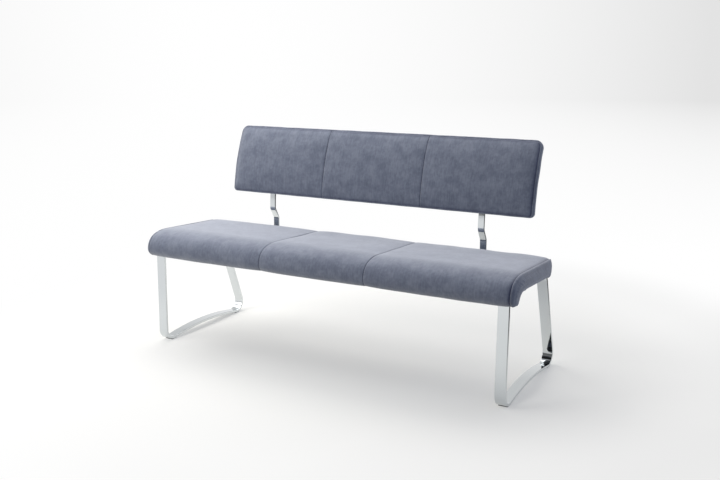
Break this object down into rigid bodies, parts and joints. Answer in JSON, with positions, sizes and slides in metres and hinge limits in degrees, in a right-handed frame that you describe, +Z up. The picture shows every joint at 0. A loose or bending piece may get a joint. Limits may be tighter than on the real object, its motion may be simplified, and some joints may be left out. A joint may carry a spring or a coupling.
{
  "type": "upholstered bench",
  "caption": "Upholstered dining bench: a padded seat with a rolled front edge and a curved padded backrest on closed hoops of chromed flat steel.",
  "frame": {"origin": "on the floor, under the middle of the bench's bounding box", "axes": "+X along the bench to the right seen from the front, +Y towards the rear, +Z up"},
  "size_m": [1.55, 0.5728, 0.8549],
  "materials": {
    "chromed_steel": "polished chrome plate on flat steel bar",
    "upholstery": "blue-grey suede-like microfibre",
    "foam": "cut polyurethane foam",
    "wadding": "white polyester wadding",
    "lining": "black spun lining cloth",
    "plywood": "unfinished plywood",
    "black_paint": "black powder coat",
    "black_plastic": "moulded, fine grain",
    "zinc_steel": "bright zinc plate"
  },
  "bodies": {
    "root": {"left_hoop": "chromed_steel", "right_hoop": "chromed_steel", "floor_glides": "black_plastic", "front_rail": "black_paint", "rear_rail": "black_paint", "rail_end_caps": "black_plastic", "left_back_support": "chromed_steel", "right_back_support": "chromed_steel", "hoop_screws": "zinc_steel", "hoop_washers": "zinc_steel", "rail_screws": "zinc_steel", "support_bolts": "zinc_steel", "seat_tee_nuts": "zinc_steel", "seat_board": "plywood", "nose_batten": "plywood", "seat_foam": "foam", "seat_cover_left": "upholstery", "seat_cover_middle": "upholstery", "seat_cover_right": "upholstery", "seat_end_cover_left": "upholstery", "seat_end_cover_right": "upholstery", "seat_lining": "lining", "back_board": "plywood", "back_foam": "foam", "back_wadding": "wadding", "back_cover_left": "upholstery", "back_cover_middle": "upholstery", "back_cover_right": "upholstery", "back_border": "upholstery", "back_rear_cover": "upholstery", "back_screws": "zinc_steel"}
  },
  "joints": []
}
